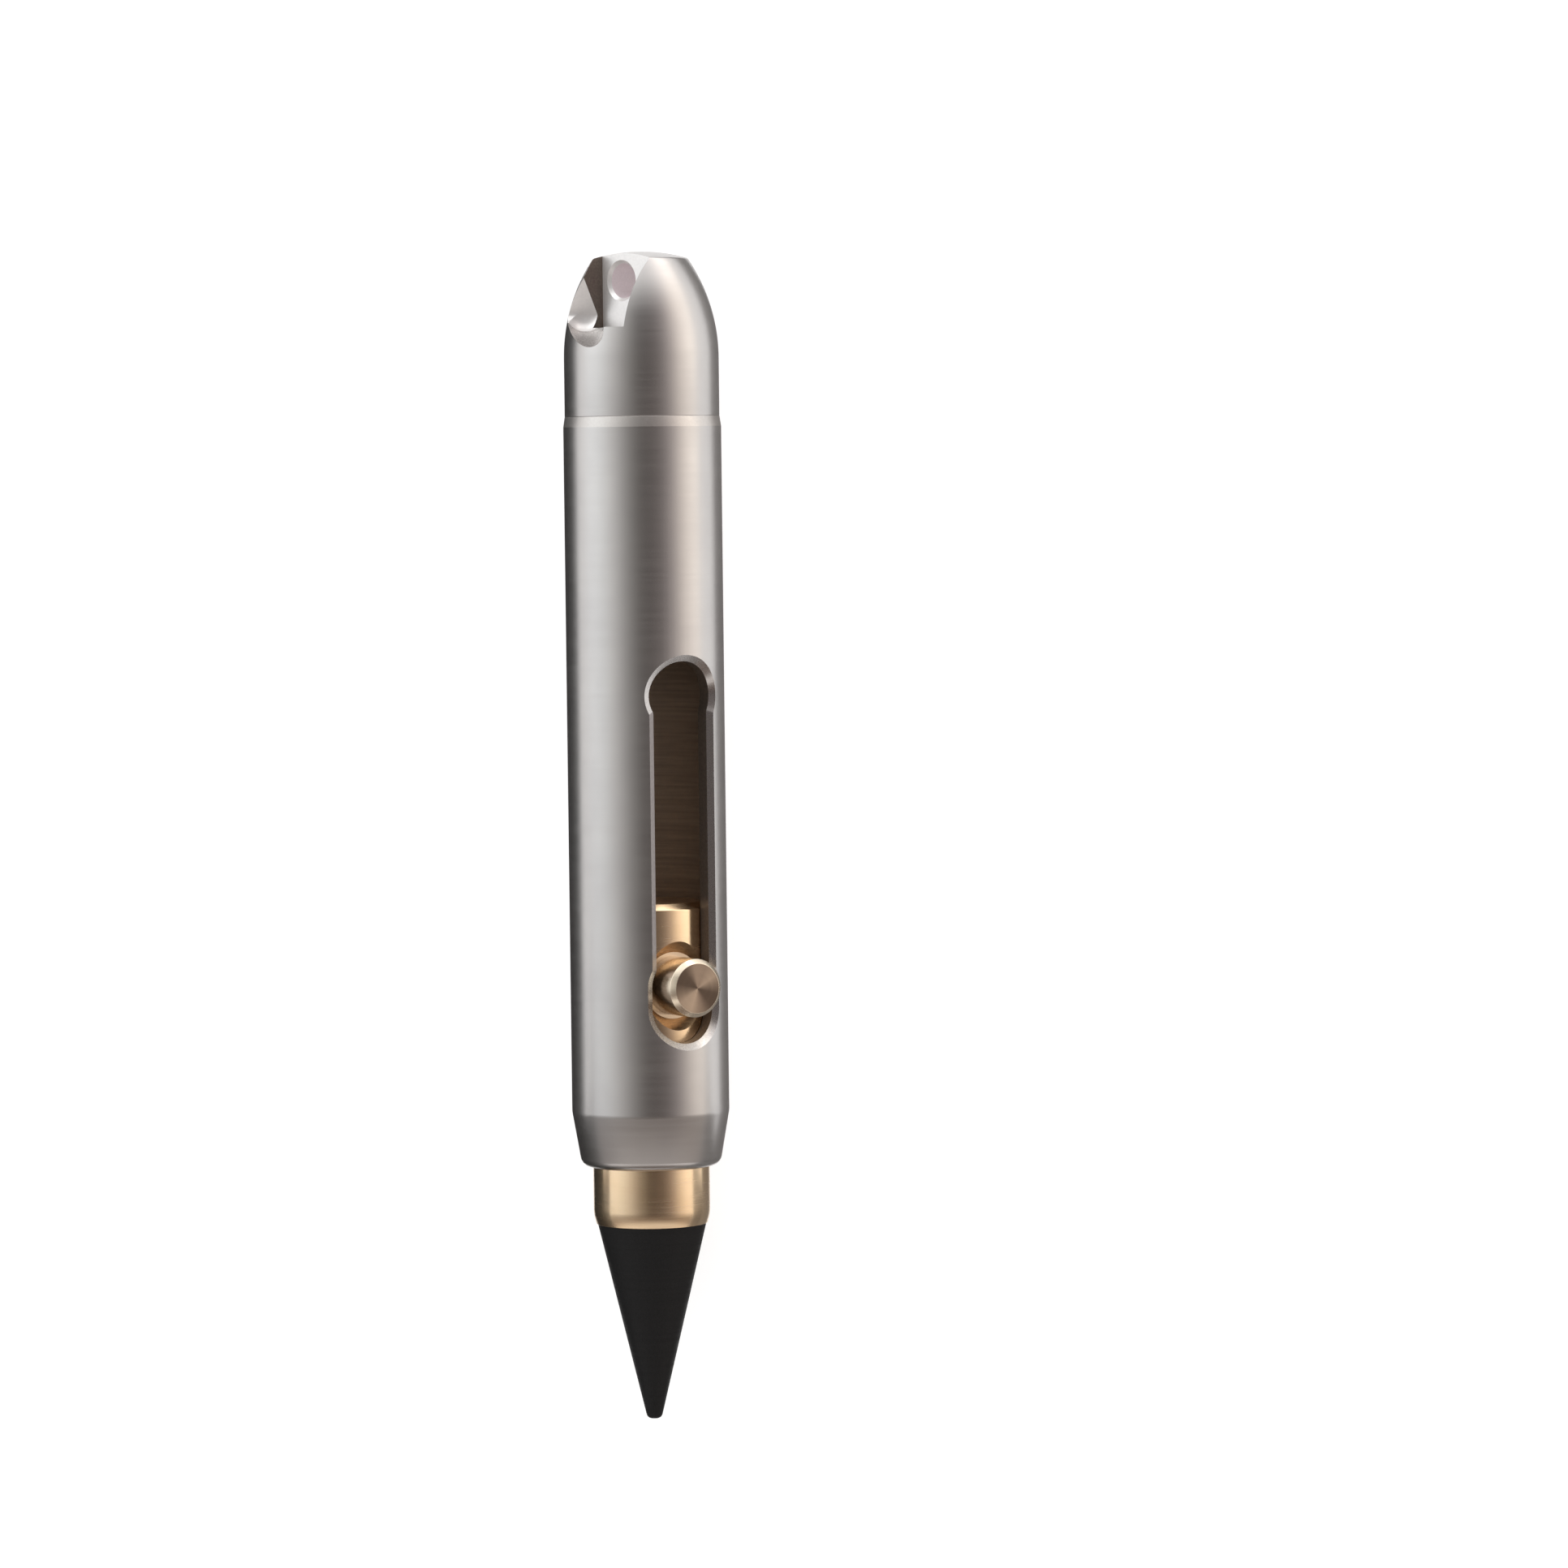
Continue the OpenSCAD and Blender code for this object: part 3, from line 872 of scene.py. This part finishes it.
carriage = turned("brass_carriage", rounded([
    (socket_end_x, 0, 0),
    (socket_end_x, spigot_r + nib_gap, 0),
    (thread_end_x + end_play, spigot_r + nib_gap, 0),
    (thread_end_x + end_play, nib_thread_r + nib_gap, 0),
    (nib_back_x, nib_thread_r + nib_gap, 0),
    (front_x, shoulder_r + nib_gap, 0),
    (front_x, carriage_r - front_bevel_depth, fine_round / 2),
    (front_x + front_bevel_len, carriage_r, front_blend),
    *groove(ring_x["front_drag_ring"]),
    *groove(ring_x["rear_drag_ring"]),
    (rear_x - rear_bevel, carriage_r, soft_round),
    (rear_x, carriage_r - rear_bevel, soft_round),
    (rear_x, 0, 0),
], closed=False))
paint(carriage, brass)

bolt_flat = 3.0 * MM
flat_r = 2.11 * MM
stem_r = 1.45 * MM
stem_gap = 0.02 * MM
stem_len = 2.3 * MM
flare_r = flat_r + barrel_r - bolt_flat
flat_half = [(bolt_flat, 0), (bolt_flat, flat_r), (barrel_r, flare_r), (barrel_r, 0)]
flat_cutter = turned("flat_cutter", list(map(Vector, flat_half)), centre=bolt_foot, along=bolt_out,
                     across=tailward)
stem_start = bolt_flat - stem_len - end_play
stem_cutter = drill(stem_r + stem_gap, bolt_foot + bolt_out * stem_start, bolt_out, barrel_r)
for cutter in (flat_cutter, stem_cutter):
    # The seat under the knob is painted darker as shade.
    paint(cutter, painted_shade_brass)
    combine(carriage, cutter)
hand_over(carriage, "carriage", "carriage")

# %% [markdown]
# ## The thumb knob
#
# The knob is turned about an axis of its own, which leans over with the slot, so it is spun about that axis.
# It has a bevelled face, a plain side and a threaded stem that hides in the carriage.

# %% Thumb knob
knob_r = 1.85 * MM
knob_stand = 1.0 * MM
knob_face = barrel_r + knob_stand
knob_bevel = 0.28 * MM
stem_pitch = 0.5 * MM
stem_depth = 0.2 * MM
stem_turns = 4

knob = turned("thumb_knob", rounded([
    (bolt_flat - stem_len, 0, 0),
    *thread_rings(bolt_flat - stem_len, stem_r, stem_depth, stem_pitch, stem_turns),
    (bolt_flat, stem_r - stem_depth, 0),
    (bolt_flat, knob_r, fine_round),
    (knob_face - knob_bevel, knob_r, fine_round),
    (knob_face, knob_r - knob_bevel, fine_round),
    (knob_face, 0, 0),
], closed=False), centre=bolt_foot, along=bolt_out, across=tailward)
# The knob's side and rim are painted pale brass as a highlight.
paint(knob, painted_highlight_brass)
# The knob's face gets the bow tie of painted reflection.
paint(knob, knob_painted_tones, lambda face: face.normal.dot(bolt_out) > square_on)
hand_over(knob, "carriage", "bolt_knob")

# %% [markdown]
# ## The drag rings
#
# Two rubber rings in the carriage's grooves rub in the bore, so that the slide stays where it is pushed. A
# moulded ring has a fine flash line round its outside where the two halves of the mould met, which is a
# small step in the circle that is spun.

# %% Drag rings
ring_t = 0.8 * MM
ring_mid_r = 3.33 * MM
flash_inset = 0.03 * MM
flash_half = radians(8)
ring_steps = 36


def ring_section(x):
    """A circle, drawn in a little except at the flash line on its outside."""
    points = []
    for i in range(ring_steps):
        turn = 2 * pi * i / ring_steps
        off_flash = abs(turn - pi / 2) > flash_half
        radius = ring_t / 2 - (flash_inset if off_flash else 0)
        points.append(Vector((x + cos(turn) * radius, ring_mid_r + sin(turn) * radius)))
    return points + points[:1]


for node, x in ring_x.items():
    ring = turned(node.replace("drag", "rubber"), ring_section(x))
    paint(ring, rubber)
    hand_over(ring, "drag_rings", node)

# %% [markdown]
# ## The nib
#
# The writing end is a blunt cone on a brass insert that screws into the carriage. The thread shows when the
# nib is drawn out, so it is a real helix: one tooth is drawn and the Screw modifier winds it up. A boolean
# joins it to the insert's plain core.

# %% Nib insert
stem_hold_r = 1.7 * MM
stem_hold_len = 5 * MM
spigot_edge = 0.25 * MM
spigot_bore_r = 1.8 * MM
spigot_bore_len = 2.2 * MM
nib_pitch = 0.5 * MM
nib_thread_depth = 0.24 * MM
tooth_sink = 0.06 * MM
tooth_half = 0.46 * nib_pitch
crest_half = 0.1 * nib_pitch
helix_steps = 72

root_r = nib_thread_r - nib_thread_depth
insert = turned("nib_thread", rounded([
    (nib_back_x - stem_hold_len, 0, 0),
    (nib_back_x - stem_hold_len, stem_hold_r, soft_round),
    (nib_back_x, stem_hold_r, 0),
    (nib_back_x, root_r, fine_round),
    (thread_end_x, root_r, 0),
    (thread_end_x, spigot_r, 0),
    (spigot_end_x - spigot_edge, spigot_r, fine_round),
    (spigot_end_x, spigot_r - spigot_edge, fine_round),
    (spigot_end_x, spigot_bore_r, fine_round),
    (spigot_end_x - spigot_bore_len, spigot_bore_r, 0),
    (spigot_end_x - spigot_bore_len, 0, 0),
], closed=False))
paint(insert, brass)

# %% Nib thread
tooth_x = nib_back_x + tooth_half
thread_turns = int((nib_thread_len - 2 * tooth_half) / nib_pitch)
tooth_foot = root_r - tooth_sink
tooth_half_section = [(-tooth_half, tooth_foot), (-crest_half, nib_thread_r), (crest_half, nib_thread_r),
                      (tooth_half, tooth_foot)]
tooth = [Vector((tooth_x + along, 0, radius)) for along, radius in tooth_half_section]

start_piece("thread_ridge")
draw(tooth + tooth[:1])
ridge = end_piece()
screw = ridge.modifiers.new("screw", "SCREW")
screw.axis = "X"
screw.screw_offset = nib_pitch
screw.iterations = thread_turns
screw.steps = helix_steps
screw.render_steps = helix_steps
bpy.ops.object.modifier_apply(modifier=screw.name)
bpy.ops.object.mode_set(mode="EDIT")
bpy.ops.mesh.select_all(action="SELECT")
bpy.ops.mesh.fill_holes(sides=0)
bpy.ops.mesh.select_all(action="SELECT")
bpy.ops.transform.translate(value=axis_point)
ridge = end_piece()
paint(ridge, brass)
combine(insert, ridge, "UNION")
hand_over(insert, "nib", "nib_insert")

# %% [markdown]
# ## The writing cone
#
# The black cone is pressed onto the insert. Its tip is blunt and worn round, and a bevel at its widest edge
# sits inside the collar.

# %% Writing cone
tip_r = 0.45 * MM
tip_round = 0.34 * MM
glue_gap = 0.02 * MM

cone = turned("nib_point", rounded([
    (tip_x, 0, 0),
    (tip_x, tip_r, tip_round),
    (front_x, shoulder_r, soft_round),
    (nib_back_x, nib_thread_r, fine_round),
    (nib_back_x, stem_hold_r + glue_gap, 0),
    (nib_back_x - stem_hold_len - end_play, stem_hold_r + glue_gap, 0),
    (nib_back_x - stem_hold_len - end_play, 0, 0),
], closed=False))
paint(cone, graphite)
hand_over(cone, "nib", "nib_cone")

# %% [markdown]
# ## The studio
#
# Polished metal shows its surroundings, so the light is half of its look. The barrel is bright on both
# flanks and dark along the top: two long soft boxes stand left and right of the desk, the right one a
# little warmer, and the ceiling between them is dim. The world is painted that way, by the angle round
# the pencil's axis. It darkens towards the tip, where one soft box stands ahead of the pencil. Black card on
# the left and grey card on the right, beside the pencil and ahead of it, are seen by the metal alone and
# give its edges their dark lines.

# %% World
def soft_step(tree, value, start, end):
    """Rises softly from 0 to 1 between two values."""
    limits = {"Value": value, "From Min": start, "From Max": end}
    return add(tree, "ShaderNodeMapRange", limits, interpolation_type="SMOOTHSTEP").outputs["Result"]


def scaled(tree, level, colour):
    """A colour times a level."""
    return add(tree, "ShaderNodeVectorMath", {0: colour, "Scale": level}, operation="SCALE").outputs["Vector"]


def summed(tree, first, second):
    """Two colours added."""
    return add(tree, "ShaderNodeVectorMath", {0: first, 1: second}).outputs["Vector"]


round_the_pencil = [
    (-90, (1.90, 1.76, 1.60)), (-74, (1.70, 1.55, 1.42)), (-60, (1.24, 1.12, 1.02)),
    (-47, (0.64, 0.57, 0.55)), (-35, (0.33, 0.29, 0.285)), (-23, (0.17, 0.148, 0.143)),
    (-6, (0.115, 0.102, 0.10)),
    (4, (0.135, 0.125, 0.118)), (23, (0.42, 0.41, 0.395)), (35, (0.73, 0.72, 0.71)), (47, (1.04, 1.03, 1.01)),
    (60, (1.30, 1.33, 1.33)), (74, (1.46, 1.49, 1.50)), (90, (1.44, 1.47, 1.49)),
]
along_the_pencil = [(-1.0, (0.03,) * 3), (-0.44, (0.08,) * 3), (-0.34, (0.10,) * 3), (-0.24, (0.17,) * 3),
                    (-0.10, (0.74,) * 3), (0.02, (1.0,) * 3), (1.0, (1.0,) * 3)]
dark = (0, 0, 0)
tip_glow = (0.18, 0.14, 0.12)
tail_glow = (1.05, 1.05, 1.05)
box_light = (0.86, 0.85, 0.83)
front_box = [(-1, dark), (-0.80, dark), (-0.70, box_light), (-0.60, box_light), (-0.50, dark), (1, dark)]

world = bpy.data.worlds.new("studio")
world.use_nodes = True
bpy.context.scene.world = world
tree = world.node_tree
way = add(tree, "ShaderNodeTexCoord").outputs["Generated"]
parts = add(tree, "ShaderNodeSeparateXYZ", {0: way}).outputs
angle = add(tree, "ShaderNodeMath", {0: parts["Y"], 1: parts["Z"]}, operation="ARCTAN2").outputs[0]
boxes = add(tree, "ShaderNodeVectorMath", {0: ramp(tree, angle, in_radians(round_the_pencil)),
                                           1: ramp(tree, parts["X"], along_the_pencil)},
            operation="MULTIPLY").outputs["Vector"]
front = scaled(tree, soft_step(tree, parts["X"], -0.04, -0.44), tip_glow)
back = scaled(tree, soft_step(tree, parts["X"], 0.5, 0.92), tail_glow)
ahead = ramp(tree, parts["X"], front_box)
studio = summed(tree, summed(tree, boxes, front), summed(tree, back, ahead))
tree.links.new(studio, tree.nodes["Background"].inputs["Color"])
print("world: two soft boxes and a dim ceiling")

# %% Floor and cards
floor_size = 6.0
floor_lift = 0.78
desk_grey = (0.42, 0.42, 0.42, 1)
card_lift = 0.05 * MM
card_in = 5.6 * MM
left_card_out = 23 * MM
right_card_out = 15 * MM
card_half = 60 * MM
front_card_x = -23.5 * MM
front_card_out = 400 * MM


def flat_board(name, low, high, height):
    """A flat board on the desk, between two corners."""
    bpy.ops.object.select_all(action="DESELECT")
    bpy.ops.mesh.primitive_plane_add(size=1)
    board = bpy.context.object
    board.name = name
    middle = (low + high) / 2
    size = high - low
    place = Matrix.Translation((middle.x, middle.y, height))
    board.data.transform(place @ Matrix.Diagonal((size.x, size.y, 1, 1)))
    return board


floor = flat_board("desk", Vector((-floor_size / 2,) * 2), Vector((floor_size / 2,) * 2), 0)
desk_finish = bpy.data.materials.new("white_desk")
desk_finish.use_nodes = True
tree = desk_finish.node_tree
ray = add(tree, "ShaderNodeLightPath").outputs
seen = add(tree, "ShaderNodeMath", {0: ray["Is Camera Ray"], 1: ray["Is Glossy Ray"]},
           use_clamp=True).outputs[0]
seen = add(tree, "ShaderNodeMath", {0: seen, 1: ray["Is Transmission Ray"]}, use_clamp=True).outputs[0]
paper = add(tree, "ShaderNodeBsdfDiffuse", {"Color": desk_grey}).outputs[0]
white = add(tree, "ShaderNodeEmission", {"Strength": floor_lift}).outputs[0]
lifted = add(tree, "ShaderNodeAddShader", {0: paper, 1: white}).outputs[0]
shown = add(tree, "ShaderNodeMixShader", {0: seen, 1: paper, 2: lifted}).outputs[0]
tree.links.new(shown, tree.nodes["Material Output"].inputs["Surface"])
paint(floor, desk_finish)


def card_finish(name, shade):
    finish = bpy.data.materials.new(name)
    finish.use_nodes = True
    finish.node_tree.nodes["Principled BSDF"].inputs["Base Color"].default_value = (shade, shade, shade, 1)
    return finish


cards = [("black_card", 0.02, (-card_half, card_in), (card_half, left_card_out)),
         ("grey_card", 0.3, (-card_half, -right_card_out), (card_half, -card_in)),
         ("front_black_card", 0.06, (-front_card_out, left_card_out), (front_card_x, front_card_out)),
         ("front_grey_card", 0.2, (-front_card_out, -front_card_out), (front_card_x, -right_card_out))]
for name, shade, low, high in cards:
    card = flat_board(name, Vector(low), Vector(high), card_lift)
    paint(card, card_finish(name, shade))
    card.visible_camera = False
    card.visible_diffuse = False
    card.visible_shadow = False
    card.visible_transmission = False
print("desk and", len(cards), "cards laid")

# %% Fill light
fill_height = 0.8
fill_size = 0.7
fill_watts = 1.8

bpy.ops.object.select_all(action="DESELECT")
bpy.ops.object.light_add(type="AREA", location=(0, 0, fill_height))
fill = bpy.context.object
fill.name = "soft_fill"
fill.data.size = fill_size
fill.data.energy = fill_watts
fill.visible_glossy = False
print("fill light", fill_watts, "W")
